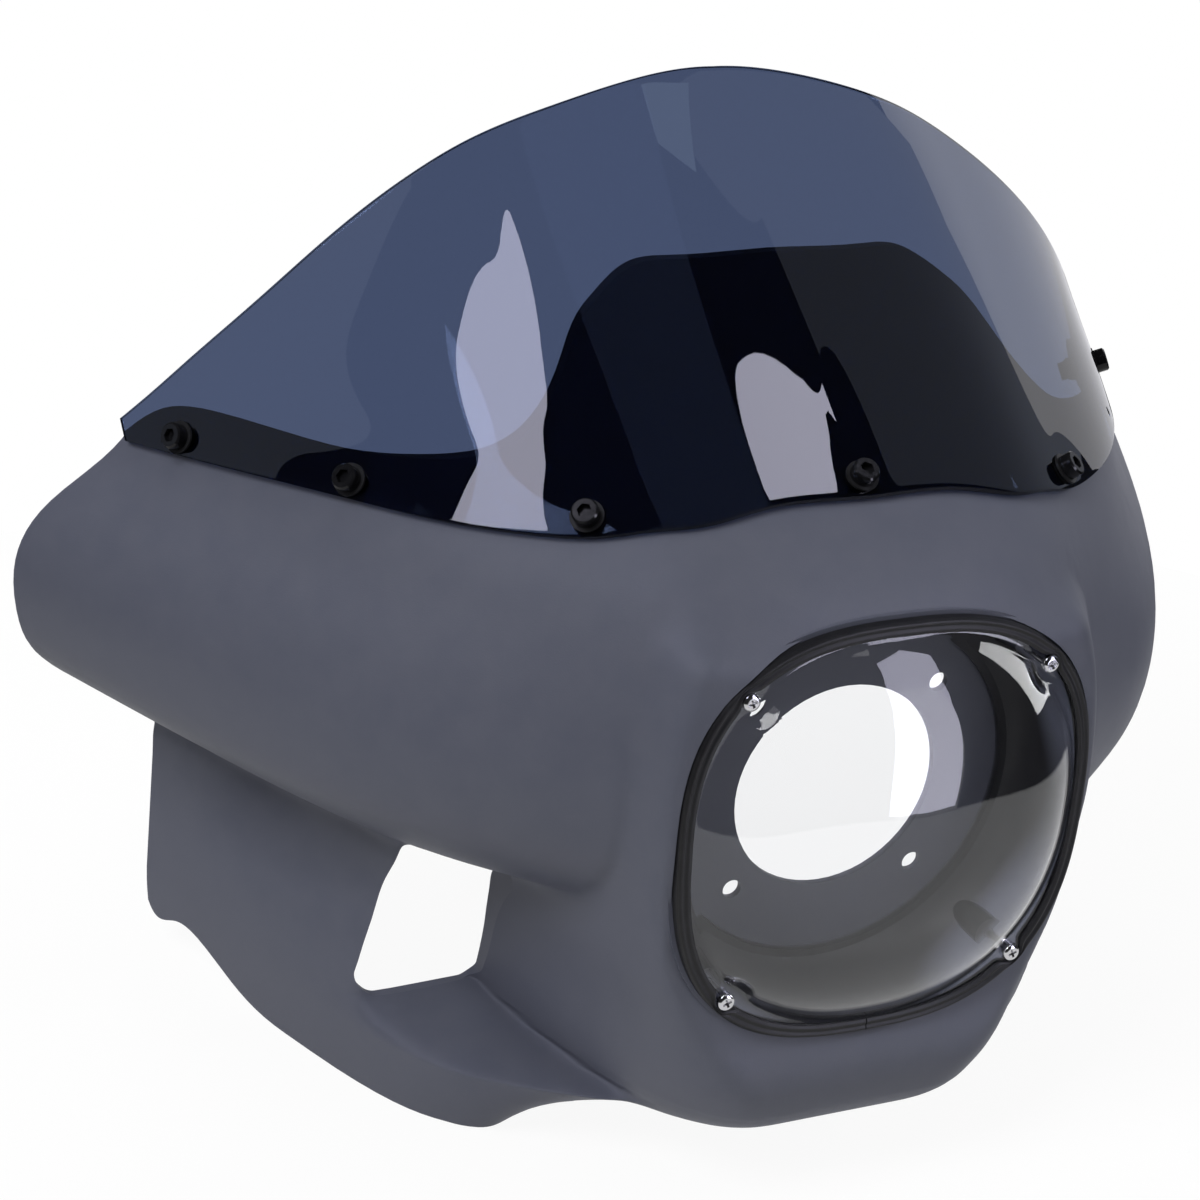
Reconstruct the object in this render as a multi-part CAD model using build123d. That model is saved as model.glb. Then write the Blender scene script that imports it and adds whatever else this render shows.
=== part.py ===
from build123d import *
import math
import os

import numpy as np

os.makedirs("parts", exist_ok=True)

# Headlight cowl for a motorcycle, all sizes in millimetres.
# Frame: origin at the middle of the lamp seat's flat face, X across, -Y forward, Z up.
# The moulding, the windshield and the lens are symmetric about X = 0.

# Moulded shell
wall = 3.5
seat_radius = 86.0      # flat round lamp seat at the bottom of the bowl
seat_step = 4.0         # the seat lies this deep behind the bottom of the bowl's wall
seat_ledge = 4.0        # width of the step round the seat
lamp_bore = 104.4       # hole for the back of the lamp
stud_pitch_circle = 135.8
stud_bore = 9.6
window_corner = 9.0     # corner radius of the side windows
window_reach = 26.0     # the window is cut this far before and behind the recess floor
pod_foot = 129.0        # half width of the pod where it meets the window
pod_sweep = 150.0       # how far the pod's flanks run back
recess_floor = 100.0    # depth of the side recess behind the lamp seat
recess_round = 10.0     # how softly the side panel turns into the recess
cheek_place = (185.0, 15.0)     # half width and height of the wings' fullest point
cheek_spread = (60.0, 55.0)     # how far the fullness fades, across and up
cheek_height = 10.0             # how far the wings stand out beside the pod
side_slant = 20.0       # the side panels run forward of the skirt by this much in plan
hem_tuck = 0.35         # how fast the hem curls back below the skirt
brow_blend = 24.0       # radius of the valley under the brow
skirt_blend = 12.0      # radius of the valley round the pod's foot

# Windshield
screen_thickness = 3.0
screen_gap = 1.5        # space between windshield and shell, filled by the nuts' flanges
screen_edge = 10.0      # bolt centres lie this far in from the lower edge
screen_corner = 270.0   # half width at the rear corners
bolt_stations = (0.0, -122.0, 122.0, -201.0, -252.0, 252.0)
bare_station = 201.0    # this hole has lost its bolt

# Windshield bolts and the rubber nuts behind them
bolt_shank = 5.0
bolt_head = 12.4
bolt_head_height = 6.0
bolt_socket = 6.0
washer_size = 15.6
washer_thickness = 1.2
nut_body = 9.6
nut_flange = 14.0
nut_flange_thickness = 1.1
nut_length = 14.0
shank_play = 0.25       # radial space round a shank or a nut body
rest_play = 0.15        # space under a flat piece that lies on a curved face

# Headlight lens and its rubber edging, on a plane that leans back at the top
edging_half_width = 105.3
edging_half_height = 102.8
edging_roundness = 2.65     # 2 gives an ellipse, larger is squarer
edging_taper = 0.025        # widening from bottom to top
lens_seat_y = -44.0
lens_middle_z = 2.0
lens_lean = 3.5             # degrees
lens_thickness = 2.5
lens_crown = 14.0           # rise of the gently curved front
lens_shoulder = 14.0        # rise of the steep side
lens_flange = 7.5
lens_roundness = 2.25       # the dome's corners are rounder than the lens edge
lens_cove = 0.5             # size of the hollow between dome and flange
edging_wall = 1.6
edging_depth = 6.5
edging_fit = 0.2            # space between the lens edge and the rubber channel
edging_seat = 0.3           # space between the rubber channel and the lip of the bowl
edging_split = 0.6          # butt joint of the channel at the bottom
lip_margin = 0.5            # the lip of the bowl stands this far outside the edging
lip_join = 1.5              # the lip thickens outwards by this much where it meets the skin

# Lens screws, two above and two below
upper_screw = (76.5, 74.0)  # half distance and height above the lens middle
lower_screw = (75.5, -74.0)
screw_shank = 4.8
screw_head = 8.6
screw_head_height = 3.0
screw_boss = 15.0
screw_boss_drop = 14.0      # the bosses start this far behind the lens seat
screw_boss_back = -4.0      # depth of their rear ends
screw_washer = 10.0
screw_washer_thickness = 1.0
screw_nut = 8.0
screw_nut_height = 4.0
screw_tail = 3.0            # thread showing behind the nut
screw_play = 0.12           # space under a screw head, whose edge nears the dome's cove
notch_play = 0.35           # space between a screw head and the notch in the edging

# Form of the cowl as knots of smooth curves
plan_of_brow = ((-90, 16), (-60, 4), (0, 0), (60, 4), (90, 16), (122, 44), (200, 135), (252, 238), (283, 310))
nose_of_brow = ((-75, 25), (-60, -5), (-45, -30), (-25, -45), (0, -51), (50, -50), (105, -36), (147, 17), (283, 200))
spread_of_brow = (
    (-75, 1.14), (-62, 1.07), (-45, 1.0), (-25, 0.923), (4, 0.885), (35, 0.885),
    (67, 0.93), (91, 0.985), (120, 1.0), (262, 1.0), (283, 1.05),
)
plan_of_skirt = ((0, -35), (40, -30), (72, -17), (105, 2), (145, 31), (172, 58), (190, 92), (225, 187), (250, 258))
nose_of_pod = (
    (-190, 60), (-180, 10), (-168, -22), (-152, -46), (-135, -56), (-118, -57.5),
    (-99, -52.5), (0, -44.5), (105, -36.5),
)
rim_of_pod = (
    (-190, 20), (-160, 30), (-130, 48), (-105, 68), (-85, 84), (-60, 98),
    (-20, 105), (40, 105), (80, 95), (110, 75),
)

# Share of the way from lamp seat to lens lip: outwards, forwards
bowl_profile = ((0, 0), (0.5, 0.17), (0.86, 0.55), (1, 1))

grid_straight = 150.0       # the form's grid runs straight up to this half width, then fans out

# Trimming lines: height over half width, and depth over height for the rear edge
seam_line = (
    (-81, 134.5), (-51, 140), (0, 141), (51, 140), (81, 134.5), (100, 131), (121, 125), (145, 121),
    (173, 118), (204, 115), (249, 105), (274, 98),
)
flange_line = (
    (-49, 219), (0, 220), (49, 219), (76, 215), (90, 206), (103, 194), (114, 178), (129, 160), (147, 147),
    (174, 138), (208, 132), (241, 127), (256, 119), (268, 105), (278, 100), (320, 98),
)
arch_line = ((-49, 278), (0, 283), (49, 278), (98, 263), (146, 237), (200, 194), (242, 145), (273, 103))
hem_line = ((0, -187), (60, -188), (140, -194), (206, -195), (220, -190), (229, -178), (240, -172), (280, -171))
rear_line = ((-220, 258), (20, 258), (55, 257), (97, 243), (135, 236))
window_outline = ((170.5, -55.0), (192.5, -137.0), (184.0, -144.5), (129.0, -143.0), (124.5, -62.0))


def through(knots, at):
    """Natural cubic curve through (position, value) knots, straight beyond both ends."""
    position, value = np.array(knots, float).T
    gap = np.diff(position)
    rise = np.diff(value) / gap
    count = len(position)
    matrix = np.eye(count)
    load = np.zeros(count)
    for i in range(1, count - 1):
        matrix[i, i - 1:i + 2] = gap[i - 1], 2 * (gap[i - 1] + gap[i]), gap[i]
        load[i] = 6 * (rise[i] - rise[i - 1])
    bend = np.linalg.solve(matrix, load)
    at = np.asarray(at, float)
    inside = np.clip(at, position[0], position[-1])
    i = np.clip(np.searchsorted(position, inside) - 1, 0, count - 2)
    done = inside - position[i]
    left = position[i + 1] - inside
    curve = (bend[i] * left ** 3 + bend[i + 1] * done ** 3) / (6 * gap[i])
    curve += (value[i] / gap[i] - bend[i] * gap[i] / 6) * left
    curve += (value[i + 1] / gap[i] - bend[i + 1] * gap[i] / 6) * done
    slope_in = rise[0] - gap[0] * (2 * bend[0] + bend[1]) / 6
    slope_out = rise[-1] + gap[-1] * (bend[-2] + 2 * bend[-1]) / 6
    return curve + slope_in * np.minimum(at - position[0], 0) + slope_out * np.maximum(at - position[-1], 0)


def ease(start, end, at):
    """0 before start, 1 after end, smooth between."""
    t = np.clip((at - start) / (end - start), 0, 1)
    return t * t * (3 - 2 * t)


def merge(a, b, radius):
    """The more forward of two faces, with a rounded valley between them."""
    share = np.clip(0.5 + 0.5 * (b - a) / radius, 0, 1)
    return b + (a - b) * share - radius * share * (1 - share)


# The outer face of the cowl gives the depth Y for each X and Z

def brow_face(x, z):
    """Wide band with the wings, which the windshield carries on upwards."""
    across = (np.abs(x) - cheek_place[0]) / cheek_spread[0]
    up = (z - cheek_place[1]) / cheek_spread[1]
    cheek = cheek_height * np.exp(-across ** 2 - up ** 2)
    plan = through(plan_of_brow, np.abs(x) * through(spread_of_brow, z))
    return through(nose_of_brow, z) + plan - cheek


def skirt_face(x, z):
    """Lower skirt and side panels, with the recess of the windows pushed in."""
    side = np.abs(x)
    slant = side_slant * ease(-150, -60, z) * ease(150, 185, side) * (1 - ease(200, 255, side))
    plan = through(plan_of_skirt, side + slant)
    sunk = recess_floor - plan
    recess = ease(-158, -142, z) * (sunk + np.sqrt(sunk ** 2 + recess_round ** 2)) / 2
    tuck = hem_tuck * np.maximum(-150 - z, 0) ** 1.6 * (1 - 0.9 * ease(50, 150, side))
    return plan + recess + tuck + 0.4 * np.maximum(z + 10, 0) ** 1.5


def pod_face(x, z):
    """Pod round the headlight, whose flanks sweep back to the windows."""
    rim = through(rim_of_pod, z)
    flank = np.maximum(np.abs(x) - rim, 0) / (pod_foot - rim)
    return through(nose_of_pod, z) + pod_sweep * flank ** 2.4 + 0.3 * np.maximum(z - 88, 0) ** 1.7


def outer_face(x, z):
    upper = merge(brow_face(x, z), pod_face(x, z), brow_blend)
    return merge(upper, skirt_face(x, z), skirt_blend)


def outer_points(x, z):
    return np.stack([x, outer_face(x, z), z], -1)


def inner_points(x, z):
    """Deepest reach of a ball of the wall's radius rolled over the outer face."""
    depth = outer_face(x, z) + wall
    for polar in np.radians((20, 40, 58, 72, 83)):
        for turn in np.radians(np.arange(0, 360, 20)):
            reach = wall * math.sin(polar)
            behind = outer_face(x + reach * math.cos(turn), z + reach * math.sin(turn))
            depth = np.maximum(depth, behind + wall * math.cos(polar))
    return np.stack([x, depth, z], -1)


def raised_points(x, z, height):
    """Points of the outer face moved outward along its normal."""
    step = 0.25
    slope_x = (outer_face(x + step, z) - outer_face(x - step, z)) / (2 * step)
    slope_z = (outer_face(x, z + step) - outer_face(x, z - step)) / (2 * step)
    normal = np.stack([slope_x, -np.ones_like(slope_x), slope_z], -1)
    normal /= np.linalg.norm(normal, axis=-1, keepdims=True)
    return outer_points(x, z) + height * normal


def back_points(x, z):
    """Inner side of the wall, its grid set square to the outer face towards the rear edges."""
    square = raised_points(x, z, -wall)
    share = ease(160, 220, np.abs(x))
    return inner_points(x + share * (square[..., 0] - x), z + share * (square[..., 2] - z))


def plane_on_face(x, z, height=0.0):
    """Plane over the outer face at (x, z), its Z axis pointing out of the cowl."""
    foot, tip = (raised_points(np.array([x]), np.array([z]), h)[0] for h in (height, height + 1))
    return Plane(origin=tuple(foot), z_dir=tuple(tip - foot))


# Closed solids between two grids of points

def numbers(point):
    return tuple(float(value) for value in point)


def smooth_face(grid):
    """Face through the columns of a grid, each a spline with the same spacing."""
    spacing = numbers(np.linspace(0, 1, grid.shape[0]))
    columns = [[Vector(*numbers(point)) for point in column] for column in np.swapaxes(grid, 0, 1)]
    splines = [Edge.make_spline(column, parameters=spacing) for column in columns]
    return Shell.make_loft([Wire([spline]) for spline in splines]).faces()[0]


def border(face, line):
    """The edge of a face that runs along a line of points."""
    first, middle, last = (Vector(*numbers(line[k])) for k in (0, len(line) // 2, -1))
    return min(face.edges(), key=lambda edge: sum(edge.distance_to(point) for point in (first, middle, last)))


def solid_between(front, back):
    front_face = smooth_face(front)
    back_face = smooth_face(back)
    faces = [front_face, back_face]
    for pick in (np.s_[0], np.s_[-1], np.s_[:, 0], np.s_[:, -1]):
        faces.append(Face.make_surface_from_curves(border(front_face, front[pick]), border(back_face, back[pick])))
    return Solid(Shell(faces))


def spaced(*stops):
    """Values from stop to stop, each stop given with the number of equal steps that lead to it."""
    values = [stops[0][0]]
    for (start, _), (end, steps) in zip(stops, stops[1:]):
        values.extend(start + (end - start) * (i + 1) / steps for i in range(steps))
    return np.array(values, float)


def tube(plane, radius, start, end, bore=0.0):
    """Cylinder along a plane's Z axis between two heights, with an optional bore."""
    solid = Solid.make_cylinder(radius, end - start, plane.offset(start))
    if bore:
        solid = solid - Solid.make_cylinder(bore, end - start, plane.offset(start))
    return solid


# Moulded shell

def outer_width(z):
    """Half width at which the outer face meets the rear line."""
    near = np.full(np.shape(z), 150.0)
    far = np.full(np.shape(z), 330.0)
    for _ in range(40):
        middle = (near + far) / 2
        short = outer_face(middle, z) < through(rear_line, z)
        near = np.where(short, middle, near)
        far = np.where(short, far, middle)
    return near


def half_width(side, z):
    """Half width of a grid column: straight up to a share of 1, then stretched out to the rear line."""
    stretched = grid_straight + (side - 1) * (outer_width(z) - grid_straight)
    return np.where(side <= 1, grid_straight * side, stretched)


def edge_height(line, side):
    """Height of a trimming line at each column, whose half width depends on that height."""
    z = through(line, grid_straight * side)
    for _ in range(40):
        z = (z + through(line, half_width(side, z))) / 2
    return z


def shell_grid(lowest=-160.0, highest=-20.0):
    """Grid of X and Z over the moulding, from hem to flange and out to the rear line."""
    inner = spaced((0, 0), (90, 9), (135, 9), (grid_straight, 2)) / grid_straight
    share = np.concatenate([inner, spaced((1, 0), (2, 12))[1:]])
    share = np.concatenate([-share[:0:-1], share])[None, :]
    side = np.abs(share)
    hem = lowest + (edge_height(hem_line, side) - lowest) * spaced((1, 0), (0, 4))[:-1, None]
    middle = spaced((lowest, 0), (-140, 6), (-70, 7), (highest, 7))[:, None] + 0 * side
    top = highest + (edge_height(flange_line, side) - highest) * spaced((0, 0), (1, 28))[1:, None]
    z = np.concatenate([hem, middle, top])
    return half_width(side, z) * np.sign(share), z


lean = math.radians(lens_lean)
lens_plane = Plane(
    origin=(0, lens_seat_y, lens_middle_z), x_dir=(1, 0, 0), z_dir=(0, -math.cos(lean), math.sin(lean))
)
turns = np.linspace(0, 2 * math.pi, 65)[:-1]


def on_lens_plane(across, up, height):
    """Points given in the lens plane's own directions, in the cowl's frame."""
    depth = lens_seat_y + up * math.sin(lean) - height * math.cos(lean)
    level = lens_middle_z + up * math.cos(lean) + height * math.sin(lean)
    return np.stack([across, depth, level], -1)


def edging_outline(inset):
    """Rounded square round the lens, brought in evenly: one over the root of summed powers."""
    half_width = edging_half_width - inset
    half_height = edging_half_height - inset
    power = edging_roundness
    summed = (np.abs(np.cos(turns)) / half_width) ** power + (np.abs(np.sin(turns)) / half_height) ** power
    radius = summed ** (-1 / power)
    up = radius * np.sin(turns)
    return radius * np.cos(turns) * (1 + edging_taper * up / 100), up


def closed_wire(points):
    return Wire([Edge.make_spline([Vector(*numbers(point)) for point in points], periodic=True)])


def lens_prism(inset, start, end):
    """Block with the lens outline between two heights over the lens plane."""
    across, up = edging_outline(inset)
    face = Face(closed_wire(on_lens_plane(across, up, start + 0 * up)))
    return Solid.extrude(face, lens_plane.z_dir * (end - start))


def bowl_form(growth):
    """Body of the bowl from the step round the lamp seat out to the lip of the lens opening."""
    across, up = edging_outline(wall - lip_margin - growth)
    rim = on_lens_plane(across, up, 0 * up - edging_seat)
    radius = seat_radius + seat_ledge + growth
    foot_depth = growth - seat_step + 0 * turns
    foot = np.stack([radius * np.cos(turns), foot_depth, radius * np.sin(turns)], -1)
    sections = []
    for spread, rise in bowl_profile:
        share = np.array([spread, rise, spread])
        sections.append(closed_wire(foot + (rim - foot) * share))
    return Solid.make_loft(sections)


def screw_places():
    """Lens screws as planes on the lens plane, their Z axis pointing forward."""
    places = []
    for across, up in (upper_screw, lower_screw):
        for side in (-1, 1):
            places.append(lens_plane * Pos(side * across, up, 0))
    return [Plane(place) for place in places]


def boss_back(plane):
    """Height over the lens plane of the rear end of a screw's boss."""
    return (plane.origin.Y - screw_boss_back) / math.cos(lean)


def window_cutter(side):
    corners = [(side * x, recess_floor - window_reach, z) for x, z in window_outline]
    outline = Wire.make_polygon(corners, close=True)
    outline = outline.fillet_2d(window_corner, outline.vertices())
    return Solid.extrude(Face(outline), Vector(0, 2 * window_reach, 0))


def seat_plane(depth):
    return Plane(origin=(0, depth, 0), x_dir=(1, 0, 0), z_dir=(0, 1, 0))


def fairing_shell():
    x, z = shell_grid()
    shell = solid_between(outer_points(x, z), back_points(x, z))
    rim = seat_radius + wall
    shell = shell + bowl_form(wall) + tube(seat_plane(0), rim, -seat_step, wall)
    shell = shell + lens_prism(-lip_margin - lip_join, -edging_seat - wall, -edging_seat)
    shell = shell - lens_prism(-lip_margin, -edging_seat, 60)
    shell = shell - bowl_form(0) - tube(seat_plane(0), seat_radius, -seat_step - 1, 0)
    for place in screw_places():
        boss = tube(place, screw_boss / 2, boss_back(place), -screw_boss_drop)
        bore = tube(place, screw_shank / 2 + shank_play, boss_back(place) - 1, 0)
        shell = shell + boss - bore
    cutters = [tube(seat_plane(0), lamp_bore / 2, -1, wall + 1)]
    for angle in (45, 135, 225, 315):
        reach = stud_pitch_circle / 2
        centre = Pos(reach * math.cos(math.radians(angle)), 0, reach * math.sin(math.radians(angle)))
        cutters.append(centre * tube(seat_plane(0), stud_bore / 2, -1, wall + 1))
    cutters += [window_cutter(side) for side in (-1, 1)]
    for station in (*bolt_stations, bare_station):
        cutters.append(tube(bolt_plane(station), nut_body / 2 + shank_play, -wall * 3, wall))
    for cutter in cutters:
        shell = shell - cutter
    return shell


# Windshield

def windshield():
    columns = spaced((-screen_corner, 0), (-150, 14), (150, 30), (screen_corner, 14))[None, :]
    share = spaced((0, 0), (1, 18))[:, None]
    low = through(seam_line, np.abs(columns))
    z = low + (through(arch_line, np.abs(columns)) - low) * share
    x = columns + 0 * z
    screen = solid_between(raised_points(x, z, screen_gap + screen_thickness), raised_points(x, z, screen_gap))
    for station in (*bolt_stations, bare_station):
        screen = screen - tube(bolt_plane(station), bolt_shank / 2 + shank_play, 0, 4 * screen_thickness)
    return screen


def bolt_plane(station):
    """Plane on the outer face at a windshield bolt, a set distance above the seam."""
    start = float(through(seam_line, abs(station)))
    heights = np.linspace(start, start + 20, 401)
    points = outer_points(station + 0 * heights, heights)
    along = np.concatenate([[0], np.cumsum(np.linalg.norm(np.diff(points, axis=0), axis=1))])
    return plane_on_face(station, float(np.interp(screen_edge, along, heights)))


def windshield_bolt(plane):
    seat = screen_gap + screen_thickness + rest_play + washer_thickness
    head = tube(plane, bolt_head / 2, seat, seat + bolt_head_height)
    head = head.chamfer(0.8, None, head.edges().filter_by(GeomType.CIRCLE).sort_by(plane_axis(plane))[-1:])
    socket = extrude(plane.offset(seat + bolt_head_height) * RegularPolygon(bolt_socket / 2, 6, major_radius=False), -3)
    return head + tube(plane, bolt_shank / 2, 2 - nut_length, seat) - socket


def plane_axis(plane):
    return Axis(plane.origin, plane.z_dir)


def windshield_washer(plane):
    seat = screen_gap + screen_thickness + rest_play
    return tube(plane, washer_size / 2, seat, seat + washer_thickness, bolt_shank / 2 + shank_play)


def well_nut(plane):
    """Rubber nut: flange on the shell, body through its hole, swollen behind the wall."""
    inner = bolt_shank / 2 + 0.05
    body = nut_body / 2
    seat = rest_play
    swell_start = -wall - 0.6
    profile = [
        (inner, -nut_length), (body, -nut_length), (body, -nut_length + 3), (body + 1.5, -nut_length + 6),
        (body + 1.5, swell_start - 1.5), (body, swell_start), (body, seat), (nut_flange / 2, seat),
        (nut_flange / 2, seat + nut_flange_thickness), (inner, seat + nut_flange_thickness),
    ]
    section = Face(Wire.make_polygon([(x, 0, z) for x, z in profile], close=True))
    return Solid.revolve(section, 360, Axis.Z).moved(plane.location)


# Headlight lens and its rubber edging

def lens_rise(across, up):
    """Height of the lens front over its flange: crown and shoulder over a rounded square."""
    foot_width = edging_half_width - edging_wall - edging_fit - lens_flange
    foot_height = edging_half_height - edging_wall - edging_fit - lens_flange
    across = across / (1 + edging_taper * up / 100)
    power = lens_roundness
    reach = ((np.abs(across) / foot_width) ** power + (np.abs(up) / foot_height) ** power) ** (1 / power)
    rise = lens_crown * (1 - reach ** 2) + lens_shoulder * (1 - reach ** 6)
    return (rise + np.sqrt(rise ** 2 + 4 * lens_cove ** 2)) / 2


def lens_points(across, up, depth):
    """Points of the lens front, moved in by a depth along its normal."""
    step = 0.25
    slope_across = (lens_rise(across + step, up) - lens_rise(across - step, up)) / (2 * step)
    slope_up = (lens_rise(across, up + step) - lens_rise(across, up - step)) / (2 * step)
    length = np.sqrt(1 + slope_across ** 2 + slope_up ** 2)
    front = edging_wall + edging_fit + lens_thickness
    height = front + lens_rise(across, up) - depth / length
    return on_lens_plane(across + depth * slope_across / length, up + depth * slope_up / length, height)


def headlight_lens():
    side = edging_half_width + 4
    across = spaced((-side, 0), (-75, 12), (75, 16), (side, 12))[None, :]
    up = across.T
    across, up = across + 0 * up, up + 0 * across
    lens = solid_between(lens_points(across, up, 0), lens_points(across, up, lens_thickness))
    lens = lens & lens_prism(edging_wall + edging_fit, -10, 60)
    for place in screw_places():
        lens = lens - tube(place, screw_shank / 2 + shank_play, 0, 20)
    return lens


def lens_edging():
    """Rubber channel that clips over the lens edge, notched round the screws."""
    height = lens_thickness + 2 * (edging_fit + edging_wall)
    edging = lens_prism(0, 0, height) - lens_prism(edging_depth, -1, height + 1)
    edging = edging - lens_prism(edging_wall, edging_wall, height - edging_wall)
    for place in screw_places():
        edging = edging - tube(place, screw_shank / 2 + 3 * shank_play, -1, height / 2)
        edging = edging - tube(place, screw_head / 2 + notch_play, height / 2, height + 1)
    split = Solid.make_box(edging_split, 3 * edging_depth, 4 * height)
    middle = Pos(-edging_split / 2, -edging_half_height - edging_depth, -height)
    return edging - split.moved(lens_plane.location * middle)


def lens_screw(place):
    """Pan-head screw with a cross recess."""
    seat = edging_wall + edging_fit + lens_thickness + screw_play
    head = tube(place, screw_head / 2, seat, seat + screw_head_height)
    head = head.fillet(screw_head_height * 0.6, head.edges().filter_by(GeomType.CIRCLE).sort_by(plane_axis(place))[-1:])
    end = boss_back(place) - screw_washer_thickness - screw_nut_height - screw_tail
    screw = head + tube(place, screw_shank / 2, end, seat)
    for turn in (20, 110):
        slot = Solid.make_box(4.4, 1.2, 2.4).moved(Location((-2.2, -0.6, 0)))
        screw = screw - slot.moved(place.location * Location((0, 0, seat + screw_head_height - 1.8), (0, 0, turn)))
    return screw


def lens_washer(place):
    back = boss_back(place)
    return tube(place, screw_washer / 2, back - screw_washer_thickness, back, screw_shank / 2 + shank_play)


def lens_nut(place):
    front = boss_back(place) - screw_washer_thickness
    nut = extrude(place.offset(front) * RegularPolygon(screw_nut / 2, 6, major_radius=False), -screw_nut_height)
    return nut - tube(place, screw_shank / 2, front - 2 * screw_nut_height, front + 1)


def save(name, shape):
    export_step(shape, f"parts/{name}.step")


save("fairing_shell", fairing_shell())
save("windshield", windshield())
save("headlight_lens", headlight_lens())
save("lens_edging", lens_edging())
for number, station in enumerate(bolt_stations, 1):
    save(f"windshield_bolt_{number}", windshield_bolt(bolt_plane(station)))
    save(f"windshield_washer_{number}", windshield_washer(bolt_plane(station)))
    save(f"well_nut_{number}", well_nut(bolt_plane(station)))
for number, place in enumerate(screw_places(), 1):
    save(f"lens_screw_{number}", lens_screw(place))
    save(f"lens_washer_{number}", lens_washer(place))
    save(f"lens_nut_{number}", lens_nut(place))
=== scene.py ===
import math

import bmesh
import bpy
import numpy as np
from mathutils import Matrix, Vector


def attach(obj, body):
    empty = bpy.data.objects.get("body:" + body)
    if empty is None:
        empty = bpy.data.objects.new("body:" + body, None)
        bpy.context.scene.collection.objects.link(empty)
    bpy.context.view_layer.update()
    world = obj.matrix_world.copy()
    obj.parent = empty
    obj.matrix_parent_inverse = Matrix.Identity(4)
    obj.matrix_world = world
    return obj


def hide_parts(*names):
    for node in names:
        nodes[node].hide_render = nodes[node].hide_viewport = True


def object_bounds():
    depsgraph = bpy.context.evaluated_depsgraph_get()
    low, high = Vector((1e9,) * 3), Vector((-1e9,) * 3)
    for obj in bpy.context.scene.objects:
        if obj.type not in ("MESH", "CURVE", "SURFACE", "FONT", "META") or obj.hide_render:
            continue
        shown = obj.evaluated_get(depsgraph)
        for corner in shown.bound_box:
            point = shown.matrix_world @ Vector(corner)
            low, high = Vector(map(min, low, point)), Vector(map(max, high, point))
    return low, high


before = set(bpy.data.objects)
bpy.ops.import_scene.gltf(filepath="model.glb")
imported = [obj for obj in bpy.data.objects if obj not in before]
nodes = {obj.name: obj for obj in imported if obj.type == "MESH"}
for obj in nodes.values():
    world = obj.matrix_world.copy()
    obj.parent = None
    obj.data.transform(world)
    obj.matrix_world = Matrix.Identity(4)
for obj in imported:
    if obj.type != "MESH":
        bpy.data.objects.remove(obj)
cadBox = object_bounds()
print("frame loaded:", len(nodes), "nodes")

# Headlight cowl: matte moulded shell, tinted windshield on black bolts, clear lens in rubber edging.
# Metres, -Y forward, +Z up.


# Camera

view = {
    "azimuth": -26.950343,     # degrees, 0 looks along +Y
    "elevation": 25.072231,
    "roll": 5.770044,
    "place": (-0.6633446, -1.0457865, 0.6593214),
    "lens": 90.0,              # millimetres, as the sensor
    "sensor": 36.0,
    "clipStart": 0.05,
}


def viewAxes(azimuth, elevation, roll):
    # right, up and back directions of a camera that looks at the object from azimuth and elevation
    a, e, r = (math.radians(v) for v in (azimuth, elevation, roll))
    back = Vector((math.sin(a) * math.cos(e), -math.cos(a) * math.cos(e), math.sin(e)))
    right = (-back).cross(Vector((0, 0, 1))).normalized()
    up = right.cross(-back)
    return math.cos(r) * right + math.sin(r) * up, math.cos(r) * up - math.sin(r) * right, back


def makeCamera():
    data = bpy.data.cameras.new("camera")
    data.lens = view["lens"]
    data.sensor_width = view["sensor"]
    data.clip_start = view["clipStart"]
    camera = bpy.data.objects.new("camera", data)
    bpy.context.scene.collection.objects.link(camera)
    turn = Matrix(viewAxes(view["azimuth"], view["elevation"], view["roll"])).transposed().to_4x4()
    camera.matrix_world = Matrix.Translation(view["place"]) @ turn
    bpy.context.scene.camera = camera


makeCamera()
print("camera placed")


# Shader helpers

def newMaterial(name):
    material = bpy.data.materials.new(name)
    material.use_nodes = True
    tree = material.node_tree
    tree.nodes.clear()
    return material, tree


def addNode(tree, kind, inputs=None, **attributes):
    node = tree.nodes.new(kind)
    for key, value in attributes.items():
        setattr(node, key, value)
    for key, value in (inputs or {}).items():
        node.inputs[key].default_value = value
    return node


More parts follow.
